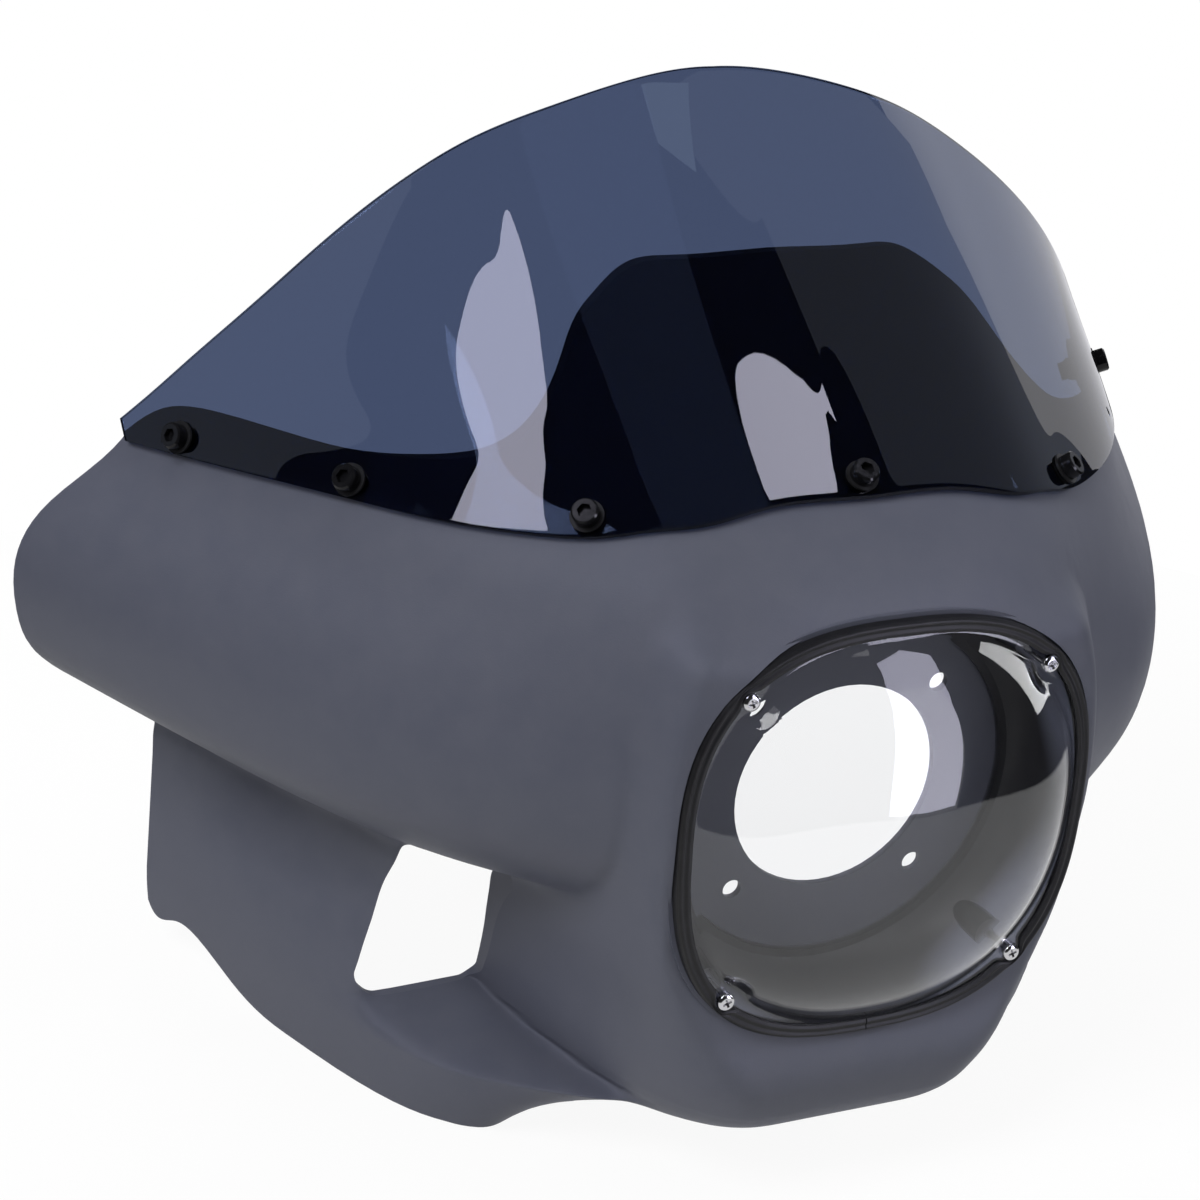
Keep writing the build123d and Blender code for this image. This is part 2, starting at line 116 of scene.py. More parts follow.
def grainGroup():
    # mottled colour, uneven roughness and a fine grain height, from two noises on the piece
    tree = bpy.data.node_groups.new("surfaceGrain", "ShaderNodeTree")
    sockets = (
        ("Vector", "INPUT", "NodeSocketVector"), ("Base", "INPUT", "NodeSocketColor"),
        ("Mottle Colour", "INPUT", "NodeSocketColor"), ("Mottle Scale", "INPUT", "NodeSocketFloat"),
        ("Mottle Amount", "INPUT", "NodeSocketFloat"), ("Grain Scale", "INPUT", "NodeSocketFloat"),
        ("Roughness Low", "INPUT", "NodeSocketFloat"), ("Roughness High", "INPUT", "NodeSocketFloat"),
        ("Colour", "OUTPUT", "NodeSocketColor"), ("Roughness", "OUTPUT", "NodeSocketFloat"),
        ("Height", "OUTPUT", "NodeSocketFloat"),
    )
    for name, side, kind in sockets:
        tree.interface.new_socket(name=name, in_out=side, socket_type=kind)
    link = tree.links.new
    given = tree.nodes.new("NodeGroupInput")
    out = tree.nodes.new("NodeGroupOutput")
    broad = addNode(tree, "ShaderNodeTexNoise", {"Detail": 4.0, "Roughness": 0.6})
    fine = addNode(tree, "ShaderNodeTexNoise", {"Detail": 3.0, "Roughness": 0.55})
    link(given.outputs["Vector"], broad.inputs["Vector"])
    link(given.outputs["Vector"], fine.inputs["Vector"])
    link(given.outputs["Mottle Scale"], broad.inputs["Scale"])
    link(given.outputs["Grain Scale"], fine.inputs["Scale"])
    contrast = addNode(tree, "ShaderNodeMapRange", {"From Min": 0.32, "From Max": 0.68})
    link(broad.outputs["Fac"], contrast.inputs["Value"])
    share = addNode(tree, "ShaderNodeMath", operation="MULTIPLY")
    link(contrast.outputs["Result"], share.inputs[0])
    link(given.outputs["Mottle Amount"], share.inputs[1])
    mix = addNode(tree, "ShaderNodeMix", data_type="RGBA")
    link(share.outputs[0], mix.inputs["Factor"])
    link(given.outputs["Base"], mix.inputs["A"])
    link(given.outputs["Mottle Colour"], mix.inputs["B"])
    rough = addNode(tree, "ShaderNodeMapRange")
    link(broad.outputs["Fac"], rough.inputs["Value"])
    link(given.outputs["Roughness Low"], rough.inputs["To Min"])
    link(given.outputs["Roughness High"], rough.inputs["To Max"])
    link(mix.outputs["Result"], out.inputs["Colour"])
    link(rough.outputs["Result"], out.inputs["Roughness"])
    link(fine.outputs["Fac"], out.inputs["Height"])
    return tree


grain = grainGroup()


def grainMaterial(name, s):
    # opaque finish: principled shader with the grain group's colour, roughness and bump, and painted shade in
    # the bowl where the finish gives it
    material, tree = newMaterial(name)
    link = tree.links.new
    place = tree.nodes.new("ShaderNodeTexCoord")
    group = addNode(tree, "ShaderNodeGroup", node_tree=grain)
    for key, socket in (("base", "Base"), ("mottle", "Mottle Colour")):
        group.inputs[socket].default_value = (*s[key], 1)
    group.inputs["Mottle Scale"].default_value = s["mottleScale"]
    group.inputs["Mottle Amount"].default_value = s["mottleAmount"]
    group.inputs["Grain Scale"].default_value = s["grainScale"]
    group.inputs["Roughness Low"].default_value = s["roughness"][0]
    group.inputs["Roughness High"].default_value = s["roughness"][1]
    link(place.outputs["Object"], group.inputs["Vector"])
    bump = addNode(tree, "ShaderNodeBump", {"Strength": s["bump"], "Distance": s["bumpDepth"]})
    link(group.outputs["Height"], bump.inputs["Height"])
    shader = tree.nodes.new("ShaderNodeBsdfPrincipled")
    sockets = {
        "metallic": "Metallic", "specular": "Specular IOR Level",
        "coat": "Coat Weight", "coatRoughness": "Coat Roughness",
    }
    for key, socket in sockets.items():
        if key in s:
            shader.inputs[socket].default_value = s[key]
    # painted shade in the bowl where the finish has an inside entry
    colour = paintedBowlShade(tree, place, group, s["inside"]) if "inside" in s else group.outputs["Colour"]
    link(colour, shader.inputs["Base Color"])
    link(group.outputs["Roughness"], shader.inputs["Roughness"])
    link(bump.outputs["Normal"], shader.inputs["Normal"])
    out = tree.nodes.new("ShaderNodeOutputMaterial")
    link(shader.outputs["BSDF"], out.inputs["Surface"])
    return material


def paintedBowlShade(tree, place, group, s):
    # painted shade: a darker colour in the bowl, inside a radius round the lamp's axis and in front of the
    # seat's back, standing in for the shade that falls in the recess
    link = tree.links.new
    parts = tree.nodes.new("ShaderNodeSeparateXYZ")
    flat = tree.nodes.new("ShaderNodeCombineXYZ")
    link(place.outputs["Object"], parts.inputs["Vector"])
    link(parts.outputs["X"], flat.inputs["X"])
    link(parts.outputs["Z"], flat.inputs["Y"])
    reach = addNode(tree, "ShaderNodeVectorMath", operation="LENGTH")
    link(flat.outputs["Vector"], reach.inputs[0])
    near, front = (
        addNode(tree, "ShaderNodeMapRange", {"From Min": s[end], "From Max": s[end] - s["fade"]})
        for end in ("radius", "back")
    )
    link(reach.outputs["Value"], near.inputs["Value"])
    link(parts.outputs["Y"], front.inputs["Value"])
    share = addNode(tree, "ShaderNodeMath", operation="MULTIPLY")
    link(near.outputs["Result"], share.inputs[0])
    link(front.outputs["Result"], share.inputs[1])
    mix = addNode(tree, "ShaderNodeMix", data_type="RGBA")
    link(share.outputs[0], mix.inputs["Factor"])
    link(group.outputs["Colour"], mix.inputs["A"])
    mix.inputs["B"].default_value = (*s["colour"], 1)
    return mix.outputs["Result"]


def clearMaterial(name, s):
    # clear or tinted sheet: light passes for shadow rays, with faint smears in the roughness
    material, tree = newMaterial(name)
    link = tree.links.new
    place = tree.nodes.new("ShaderNodeTexCoord")
    smears = addNode(tree, "ShaderNodeTexNoise", {"Scale": s["smearScale"], "Detail": 5.0, "Roughness": 0.6})
    link(place.outputs["Object"], smears.inputs["Vector"])
    rough = addNode(tree, "ShaderNodeMapRange", {"From Min": 0.35, "From Max": 0.75})
    rough.inputs["To Min"].default_value = s["roughness"][0]
    rough.inputs["To Max"].default_value = s["roughness"][1]
    link(smears.outputs["Fac"], rough.inputs["Value"])
    shader = tree.nodes.new("ShaderNodeBsdfPrincipled")
    shader.inputs["Base Color"].default_value = (*s["colour"], 1)
    shader.inputs["Transmission Weight"].default_value = 1.0
    shader.inputs["IOR"].default_value = s["ior"]
    link(rough.outputs["Result"], shader.inputs["Roughness"])
    pane = addNode(tree, "ShaderNodeBsdfTransparent", {"Color": (*s["shadow"], 1)})
    path = tree.nodes.new("ShaderNodeLightPath")
    mix = tree.nodes.new("ShaderNodeMixShader")
    link(path.outputs["Is Shadow Ray"], mix.inputs["Fac"])
    link(shader.outputs["BSDF"], mix.inputs[1])
    link(pane.outputs["BSDF"], mix.inputs[2])
    out = tree.nodes.new("ShaderNodeOutputMaterial")
    link(mix.outputs["Shader"], out.inputs["Surface"])
    return material


# Finishes: lengths in metres, scales in waves per metre, roughness from low to high

shellFinish = {
    "base": (0.076, 0.081, 0.110), "mottle": (0.098, 0.102, 0.130),
    "mottleScale": 55.0, "mottleAmount": 0.35, "grainScale": 1400.0,
    "roughness": (0.42, 0.58), "bump": 0.25, "bumpDepth": 0.0002, "specular": 0.38,
    # inside: painted shade, a darker colour laid into the recessed bowl
    "inside": {"radius": 0.1045, "fade": 0.004, "back": 0.002, "colour": (0.009, 0.009, 0.011)},
}
rubberFinish = {
    "base": (0.006, 0.006, 0.007), "mottle": (0.018, 0.018, 0.020),
    "mottleScale": 120.0, "mottleAmount": 0.4, "grainScale": 2500.0,
    "roughness": (0.36, 0.52), "bump": 0.3, "bumpDepth": 0.0001, "specular": 0.35,
}
boltFinish = {
    "base": (0.004, 0.004, 0.005), "mottle": (0.010, 0.010, 0.011),
    "mottleScale": 300.0, "mottleAmount": 0.5, "grainScale": 4000.0,
    "roughness": (0.10, 0.20), "bump": 0.08, "bumpDepth": 0.00005, "specular": 0.22,
    "coat": 0.12, "coatRoughness": 0.1,
}
washerFinish = {
    "base": (0.008, 0.008, 0.009), "mottle": (0.020, 0.020, 0.022),
    "mottleScale": 300.0, "mottleAmount": 0.5, "grainScale": 3000.0,
    "roughness": (0.30, 0.45), "bump": 0.1, "bumpDepth": 0.00005, "specular": 0.2,
}
chromeFinish = {
    "base": (0.80, 0.80, 0.82), "mottle": (0.62, 0.62, 0.65),
    "mottleScale": 250.0, "mottleAmount": 0.3, "grainScale": 3500.0,
    "roughness": (0.08, 0.20), "bump": 0.05, "bumpDepth": 0.00005, "metallic": 1.0,
}
steelFinish = {
    "base": (0.50, 0.50, 0.51), "mottle": (0.38, 0.39, 0.42),
    "mottleScale": 350.0, "mottleAmount": 0.5, "grainScale": 3000.0,
    "roughness": (0.26, 0.42), "bump": 0.1, "bumpDepth": 0.00005, "metallic": 1.0,
}
screenFinish = {
    "colour": (0.060, 0.082, 0.155), "shadow": (0.04, 0.05, 0.08), "ior": 1.49, "smearScale": 18.0,
    "roughness": (0.0, 0.008),
}
lensFinish = {
    "colour": (0.97, 0.975, 0.985), "shadow": (0.88, 0.89, 0.90), "ior": 1.49, "smearScale": 25.0,
    "roughness": (0.0, 0.006),
}

finishes = {
    "fairing_shell": grainMaterial("shellFinish", shellFinish),
    "windshield": clearMaterial("screenFinish", screenFinish),
    "headlight_lens": clearMaterial("lensFinish", lensFinish),
    "lens_edging": grainMaterial("rubberFinish", rubberFinish),
    "windshield_bolt": grainMaterial("boltFinish", boltFinish),
    "windshield_washer": grainMaterial("washerFinish", washerFinish),
    "lens_screw": grainMaterial("chromeFinish", chromeFinish),
    "lens_nut": grainMaterial("steelFinish", steelFinish),
}
finishes["well_nut"] = finishes["lens_edging"]
finishes["lens_washer"] = finishes["lens_nut"]


def finishOf(name):
    # by the node's name, or by its name without its number
    return finishes[name] if name in finishes else finishes[name.rsplit("_", 1)[0]]


for name, node in nodes.items():
    for materialSlot in node.material_slots:
        materialSlot.material = finishOf(name)
print("finishes given to", len(nodes), "nodes")


# Forms shared by the pieces, in millimetres: plans give depth over half width, noses depth over height,
# the rim half width over height, the seam and the arch the windshield's lower and upper edge

millimetre = 0.001
planOfBrow = ((-90, 16), (-60, 4), (0, 0), (60, 4), (90, 16), (122, 44), (200, 135), (252, 238), (283, 310))
noseOfBrow = (
    (-75, 25), (-60, -5), (-45, -30), (-25, -45), (0, -51), (50, -50), (105, -36), (147, 17), (283, 200),
)
spreadOfBrow = (
    (-75, 1.14), (-62, 1.07), (-45, 1.0), (-25, 0.923), (4, 0.885), (35, 0.885),
    (67, 0.93), (91, 0.985), (120, 1.0), (262, 1.0), (283, 1.05),
)
planOfSkirt = (
    (0, -35), (40, -30), (72, -17), (105, 2), (145, 31), (172, 58), (190, 92), (225, 187), (250, 258),
)
noseOfPod = (
    (-190, 60), (-180, 10), (-168, -22), (-152, -46), (-135, -56), (-118, -57.5),
    (-99, -52.5), (0, -44.5), (105, -36.5),
)
rimOfPod = (
    (-190, 20), (-160, 30), (-130, 48), (-105, 68), (-85, 84), (-60, 98),
    (-20, 105), (40, 105), (80, 95), (110, 75),
)
seamLine = (
    (-81, 134.5), (-51, 140), (0, 141), (51, 140), (81, 134.5), (100, 131), (121, 125), (145, 121),
    (173, 118), (204, 115), (249, 105), (274, 98),
)
archLine = ((-49, 278), (0, 283), (49, 278), (98, 263), (146, 237), (200, 194), (242, 145), (273, 103))
cowlSize = {
    "cheekHeight": 10, "cheekAcross": 185, "cheekWidth": 60, "cheekUp": 15, "cheekTall": 55,
    "podFoot": 129, "podSweep": 150, "podPower": 2.4,
    # above these heights pod and skirt run back, under the brow
    "podTop": 88, "podTopRate": 0.3, "podTopPower": 1.7,
    "skirtTop": -10, "skirtTopRate": 0.4, "skirtTopPower": 1.5,
    "browBlend": 24, "skirtBlend": 12,
}


def through(knots, at):
    # natural cubic curve through the knots, straight beyond both ends
    position, value = np.array(knots, float).T
    gap = np.diff(position)
    rise = np.diff(value) / gap
    middle = np.arange(1, len(position) - 1)
    matrix = np.eye(len(position))
    matrix[middle, middle - 1] = gap[:-1]
    matrix[middle, middle] = 2 * (gap[:-1] + gap[1:])
    matrix[middle, middle + 1] = gap[1:]
    load = np.zeros(len(position))
    load[middle] = 6 * np.diff(rise)
    bend = np.linalg.solve(matrix, load)
    inside = np.clip(at, position[0], position[-1])
    i = np.clip(np.searchsorted(position, inside) - 1, 0, len(position) - 2)
    done, left = inside - position[i], position[i + 1] - inside
    curve = (bend[i] * left ** 3 + bend[i + 1] * done ** 3) / (6 * gap[i])
    curve += (value[i] / gap[i] - bend[i] * gap[i] / 6) * left
    curve += (value[i + 1] / gap[i] - bend[i + 1] * gap[i] / 6) * done
    slopeIn = rise[0] - gap[0] * (2 * bend[0] + bend[1]) / 6
    slopeOut = rise[-1] + gap[-1] * (bend[-2] + 2 * bend[-1]) / 6
    return curve + slopeIn * np.minimum(at - position[0], 0) + slopeOut * np.maximum(at - position[-1], 0)


def ease(start, end, at):
    # 0 before start, 1 after end, three t squared less two t cubed between
    t = np.clip((at - start) / (end - start), 0, 1)
    return t * t * (3 - 2 * t)


def merge(a, b, radius):
    # the more forward of two depths, with a rounded valley of the radius between them
    share = np.clip(0.5 + 0.5 * (b - a) / radius, 0, 1)
    return b + (a - b) * share - radius * share * (1 - share)


def cowlDepth(x, z):
    # depth of the moulding's outer face: brow band, pod and skirt joined by soft valleys
    s = cowlSize
    side = np.abs(x)
    across, up = (side - s["cheekAcross"]) / s["cheekWidth"], (z - s["cheekUp"]) / s["cheekTall"]
    cheek = s["cheekHeight"] * np.exp(-across ** 2 - up ** 2)
    brow = through(noseOfBrow, z) + through(planOfBrow, side * through(spreadOfBrow, z)) - cheek
    rim = through(rimOfPod, z)
    flank = np.maximum(side - rim, 0) / (s["podFoot"] - rim)
    pod = through(noseOfPod, z) + s["podSweep"] * flank ** s["podPower"]
    pod = pod + s["podTopRate"] * np.maximum(z - s["podTop"], 0) ** s["podTopPower"]
    skirt = through(planOfSkirt, side)
    skirt = skirt + s["skirtTopRate"] * np.maximum(z - s["skirtTop"], 0) ** s["skirtTopPower"]
    return merge(merge(brow, pod, s["browBlend"]), skirt, s["skirtBlend"])


def raisedPoints(x, z, height):
    # points of the outer face moved out along its normal
    step = 0.25
    slopeX = (cowlDepth(x + step, z) - cowlDepth(x - step, z)) / (2 * step)
    slopeZ = (cowlDepth(x, z + step) - cowlDepth(x, z - step)) / (2 * step)
    normal = np.stack([slopeX, -np.ones_like(slopeX), slopeZ], -1)
    normal /= np.linalg.norm(normal, axis=-1, keepdims=True)
    return np.stack([x, cowlDepth(x, z), z], -1) + height * normal


def gridFaces(rows, columns, start=0, wrap=False, flip=False):
    # quads between neighbouring rows and columns of a grid; wrap joins the last column to the first
    row = np.arange(rows - 1)[:, None]
    column = np.arange(columns if wrap else columns - 1)[None, :]
    nextColumn = (column + 1) % columns
    quads = np.stack([row * columns + column, row * columns + nextColumn,
                      (row + 1) * columns + nextColumn, (row + 1) * columns + column], -1).reshape(-1, 4)
    return start + (quads[:, ::-1] if flip else quads)


def meshPiece(name, points, faces, material, sharpAngle=40):
    # points in millimetres and a list of face arrays become one smooth piece at the origin
    mesh = bpy.data.meshes.new(name)
    flat = [face for group in faces for face in group.tolist()]
    mesh.from_pydata((points * millimetre).tolist(), [], flat)
    mesh.update()
    mesh.materials.append(material)
    mesh.shade_smooth()
    mesh.set_sharp_from_angle(angle=math.radians(sharpAngle))
    piece = bpy.data.objects.new(name, mesh)
    bpy.context.scene.collection.objects.link(piece)
    return piece


drillSize = {"sides": 32, "offAxis": (0.3, 0.2, 0.9)}
rimSize = {"segments": 3, "cornerAngle": 60, "sharpAngle": 50}


def drill(piece, places, radius, depth):
    # round holes along each place's direction, cut by one mesh of closed cylinders
    sides = drillSize["sides"]
    turn = np.linspace(0, 2 * np.pi, sides + 1)[:-1]
    points, faces, start = [], [], 0
    for centre, direction in places:
        across = np.cross(direction, drillSize["offAxis"])
        across /= np.linalg.norm(across)
        along = np.cross(direction, across)
        ring = centre + radius * (np.cos(turn)[:, None] * across + np.sin(turn)[:, None] * along)
        points += [ring - depth * direction, ring + depth * direction]
        faces += [tuple(quad) for quad in gridFaces(2, sides, start, wrap=True).tolist()]
        faces.append(tuple(range(start + sides - 1, start - 1, -1)))
        faces.append(tuple(range(start + sides, start + 2 * sides)))
        start += 2 * sides
    mesh = bpy.data.meshes.new("drill")
    mesh.from_pydata((np.concatenate(points) * millimetre).tolist(), [], faces)
    cutter = bpy.data.objects.new("drill", mesh)
    bpy.context.scene.collection.objects.link(cutter)
    cut = piece.modifiers.new("holes", "BOOLEAN")
    cut.operation = "DIFFERENCE"
    cut.solver = "EXACT"
    cut.object = cutter
    applyModifiers(piece)
    bpy.data.objects.remove(cutter)


def applyModifiers(piece):
    graph = bpy.context.evaluated_depsgraph_get()
    done = bpy.data.meshes.new_from_object(piece.evaluated_get(graph))
    piece.modifiers.clear()
    piece.data = done


def roundRim(piece, width):
    # sharp edges rounded over the width, and the normals set again
    soft = piece.modifiers.new("rim", "BEVEL")
    soft.width = width * millimetre
    soft.segments = rimSize["segments"]
    soft.limit_method = "ANGLE"
    soft.angle_limit = math.radians(rimSize["cornerAngle"])
    applyModifiers(piece)
    piece.data.shade_smooth()
    piece.data.set_sharp_from_angle(angle=math.radians(rimSize["sharpAngle"]))


# Windshield: one bent sheet over the moulding's flange

windshieldSize = {
    "gap": 1.5, "thickness": 3.0, "corner": 270.0, "columns": 271, "rows": 91, "edgeRound": 0.7,
    "stations": (0, -122, 122, -201, 201, -252, 252), "boltFromEdge": 10.0, "boltHole": 2.75,
    "drillDepth": 8, "searchReach": 20, "searchSteps": 401,
}


def boltPlaces():
    # each bolt stands a set distance above the seam, measured along the face, and points out of it
    s = windshieldSize
    places = []
    for station in s["stations"]:
        start = float(through(seamLine, abs(station)))
        z = np.linspace(start, start + s["searchReach"], s["searchSteps"])
        x = np.full_like(z, station)
        line = raisedPoints(x, z, 0)
        along = np.concatenate([[0], np.cumsum(np.linalg.norm(np.diff(line, axis=0), axis=1))])
        z = np.array([np.interp(s["boltFromEdge"], along, z)])
        x = np.array([float(station)])
        foot, tip = raisedPoints(x, z, 0)[0], raisedPoints(x, z, 1)[0]
        places.append((foot, tip - foot))
    return places


def makeWindshield(material):
    # columns across and rows from seam to arch, one face raised by the gap and one by the gap and thickness;
    # walls close the rim
    s = windshieldSize
    x = np.linspace(-s["corner"], s["corner"], s["columns"])[None, :]
    share = np.linspace(0, 1, s["rows"])[:, None]
    low = through(seamLine, np.abs(x))
    z = low + (through(archLine, np.abs(x)) - low) * share
    x = x + 0 * z
    front = raisedPoints(x, z, s["gap"] + s["thickness"]).reshape(-1, 3)
    back = raisedPoints(x, z, s["gap"]).reshape(-1, 3)
    count = s["rows"] * s["columns"]
    index = np.arange(count).reshape(s["rows"], s["columns"])
    rim = np.concatenate([index[0, :-1], index[:-1, -1], index[-1, :0:-1], index[:0:-1, 0]])
    after = np.roll(rim, -1)
    walls = np.stack([rim, after, after + count, rim + count], -1)[:, ::-1]
    faces = [gridFaces(s["rows"], s["columns"]), gridFaces(s["rows"], s["columns"], count, flip=True), walls]
    piece = meshPiece("windshieldSheet", np.concatenate([front, back]), faces, material)
    drill(piece, boltPlaces(), s["boltHole"], s["drillDepth"])
    roundRim(piece, s["edgeRound"])
    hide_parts("windshield")
    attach(piece, "root")


# Headlight lens: crown and shoulder over a rounded square, with a flat flange

lensSize = {
    "halfWidth": 105.3, "halfHeight": 102.8, "squareness": 2.65, "taper": 0.025,
    "seatY": -44.0, "middleZ": 2.0, "lean": 3.5,
    "channelWall": 1.6, "channelFit": 0.2, "channelDepth": 6.5,
    "thickness": 2.5, "crown": 14.0, "shoulder": 14.0, "flange": 5.2, "domeSquareness": 2.25, "cove": 0.5,
    "screws": ((-76.5, 74), (76.5, 74), (-75.5, -74), (75.5, -74)), "screwHole": 2.65,
    "padStart": 5.0, "padEnd": 13.0, "edgeRound": 0.4, "drillDepth": 12, "turns": 288, "rings": 140,
}


def outlineRadius(turn, inset):
    # one over the root of summed powers of cosine and sine over the half sizes
    s = lensSize
    summed = (np.abs(np.cos(turn)) / (s["halfWidth"] - inset)) ** s["squareness"]
    summed = summed + (np.abs(np.sin(turn)) / (s["halfHeight"] - inset)) ** s["squareness"]
    return summed ** (-1 / s["squareness"])


def outlinePoints(turn, inset):
    # across and up; the outline widens upwards by the taper for each 100 mm
    radius = outlineRadius(turn, inset)
    up = radius * np.sin(turn)
    return radius * np.cos(turn) * (1 + lensSize["taper"] * up / 100), up


def onLensPlane(across, up, height):
    # the lens plane leans back at the top by the lean angle
    lean = math.radians(lensSize["lean"])
    depth = lensSize["seatY"] + up * math.sin(lean) - height * math.cos(lean)
    return np.stack([across, depth, lensSize["middleZ"] + up * math.cos(lean) + height * math.sin(lean)], -1)


def lensRise(across, up):
    # crown times one less the reach squared, and shoulder times one less its sixth power, with a small cove
    # at the foot
    s = lensSize
    footEdge = s["channelWall"] + s["channelFit"] + s["flange"]
    power = s["domeSquareness"]
    wide, across = across, across / (1 + s["taper"] * up / 100)
    reach = (np.abs(across) / (s["halfWidth"] - footEdge)) ** power
    reach = (reach + (np.abs(up) / (s["halfHeight"] - footEdge)) ** power) ** (1 / power)
    rise = s["crown"] * (1 - reach ** 2) + s["shoulder"] * (1 - reach ** 6)
    rise = (rise + np.sqrt(rise ** 2 + 4 * s["cove"] ** 2)) / 2
    # pressed flat round each screw
    for besideScrew, aboveScrew in s["screws"]:
        rise = rise * ease(s["padStart"], s["padEnd"], np.hypot(wide - besideScrew, up - aboveScrew))
    return rise


def lensFace(across, up, depth):
    # the front moved in by a depth along its normal
    s = lensSize
    step = 0.1
    slopeAcross = (lensRise(across + step, up) - lensRise(across - step, up)) / (2 * step)
    slopeUp = (lensRise(across, up + step) - lensRise(across, up - step)) / (2 * step)
    length = np.sqrt(1 + slopeAcross ** 2 + slopeUp ** 2)
    height = s["channelWall"] + s["channelFit"] + s["thickness"] + lensRise(across, up) - depth / length
    return onLensPlane(across + depth * slopeAcross / length, up + depth * slopeUp / length, height)


def makeLens(material):
    # rings of growing share round the middle, front and back, joined at the rim; one point closes each middle
    s = lensSize
    turn = np.linspace(0, 2 * np.pi, s["turns"] + 1)[:-1][None, :]
    share = (np.arange(1, s["rings"] + 1) / s["rings"])[:, None]
    edgeAcross, edgeUp = outlinePoints(turn, s["channelWall"] + s["channelFit"])
    across, up = edgeAcross * share, edgeUp * share
    count = s["rings"] * s["turns"]
    points, faces = [], []
    for start, depth, flip in ((0, 0.0, True), (count + 1, s["thickness"], False)):
        middle = lensFace(np.zeros(1), np.zeros(1), depth)
        points += [lensFace(across, up, depth).reshape(-1, 3), middle]
        faces.append(gridFaces(s["rings"], s["turns"], start, wrap=True, flip=flip))
        ring = start + np.arange(s["turns"])
        fan = np.stack([ring, np.roll(ring, -1), np.full_like(ring, start + count)], -1)
        faces.append(fan if flip else fan[:, ::-1])
    outer = (s["rings"] - 1) * s["turns"] + np.arange(s["turns"])
    after = np.roll(outer, -1)
    faces.append(np.stack([outer, after, after + count + 1, outer + count + 1], -1)[:, ::-1])
    piece = meshPiece("lensDome", np.concatenate(points), faces, material)
    lean = math.radians(s["lean"])
    forward = np.array([0, -math.cos(lean), math.sin(lean)])
    spots = [(onLensPlane(np.array(float(a)), np.array(float(u)), 0.0), forward) for a, u in s["screws"]]
    drill(piece, spots, s["screwHole"], s["drillDepth"])
    roundRim(piece, s["edgeRound"])
    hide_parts("headlight_lens")
    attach(piece, "root")


# Rubber edging: a channel with two ridges, clipped over the lens edge

edgingSize = {
    "height": 6.1, "ridge": 0.55, "ridgeRound": 1.0, "roundFrom": 0.82, "corner": 0.25, "channelPlay": 0.2,
    "split": 0.3, "notchRadius": 4.8, "notchWidth": 2.4, "frontSteps": 22, "steps": 720, "sharpAngle": 35,
}


def edgingProfile(depth):
    # inset and height of the channel's closed section; a cosine of two waves gives the ridges of its front
    s, wall = edgingSize, lensSize["channelWall"]
    along = np.linspace(0, 1, s["frontSteps"])[:, None]
    frontInset = depth * (1 - along)
    frontHeight = s["height"] - s["ridge"] * (0.5 + 0.5 * np.cos(4 * np.pi * along))
    frontHeight = frontHeight - s["ridgeRound"] * ease(s["roundFrom"], 1, along) ** 2
    channelTop = s["height"] - wall - s["channelPlay"]
    side = [(0, s["height"] * 0.5), (0, s["corner"]), (s["corner"], 0.0)]
    back = [(depth, 0.0), (depth, wall), (wall, wall), (wall, channelTop), (depth, channelTop)]
    inset = np.concatenate([frontInset] + [inwards + 0 * depth for inwards, _ in side + back])
    height = np.concatenate([frontHeight + 0 * depth] + [raised + 0 * depth for _, raised in side + back])
    return inset, height


def makeEdging(material):
    # the section carried round the outline from one side of the bottom joint to the other, with a notch
    # at each screw
    s = edgingSize
    gap = s["split"] / lensSize["halfHeight"]
    turn = np.linspace(-np.pi / 2 + gap, 1.5 * np.pi - gap, s["steps"])[None, :]
    across, up = outlinePoints(turn, 0)
    near = np.min([np.hypot(across - a, up - u) for a, u in lensSize["screws"]], axis=0)
    nearest = near.min()
    notch = lensSize["channelDepth"] - nearest + s["notchRadius"]
    notch = notch * np.exp(-((near - nearest) / s["notchWidth"]) ** 2)
    inset, height = edgingProfile(lensSize["channelDepth"] - notch)
    across, up = outlinePoints(turn, inset)
    points = onLensPlane(across, up, height)
    rows = points.shape[0]
    points = points.reshape(-1, 3)
    first = np.arange(rows) * s["steps"]
    strips = gridFaces(rows, s["steps"])
    here = np.arange(s["steps"] - 1)
    last = np.stack([first[-1] + here, first[-1] + here + 1, here + 1, here], -1)
    ends = [first[None, ::-1], (first + s["steps"] - 1)[None, :]]
    piece = meshPiece("rubberEdging", points, [strips, last, *ends], material, s["sharpAngle"])
    outward(piece)
    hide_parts("lens_edging")
    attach(piece, "root")


def outward(piece):
    # recalculated so that every face of the closed piece points out
    shape = bmesh.new()
    shape.from_mesh(piece.data)
    bmesh.ops.recalc_face_normals(shape, faces=shape.faces)
    shape.to_mesh(piece.data)
    shape.free()


makeWindshield(finishes["windshield"])
makeLens(finishes["headlight_lens"])
makeEdging(finishes["lens_edging"])
print("windshield, lens and edging made")


# Studio

studio = {
    "floorRadius": 0.80,
    "floorSides": 96,
    "floorDrop": 0.001,
    "floorWhite": (0.85, 0.85, 0.85, 1),
    "floorShadow": 0.07,        # how much of the floor's white is lit, so that a soft shadow shows
    "floorGloss": 0.65,         # the floor in the gloss
    "worldGrey": 0.06,          # the world as light on the object
    "worldGloss": 0.02,         # the world in the gloss
    "cardDistance": 2.6,
    "cardCorner": 0.25,         # share of a side that each corner cut takes
}
softWhite = (0.82, 0.81, 1.0)
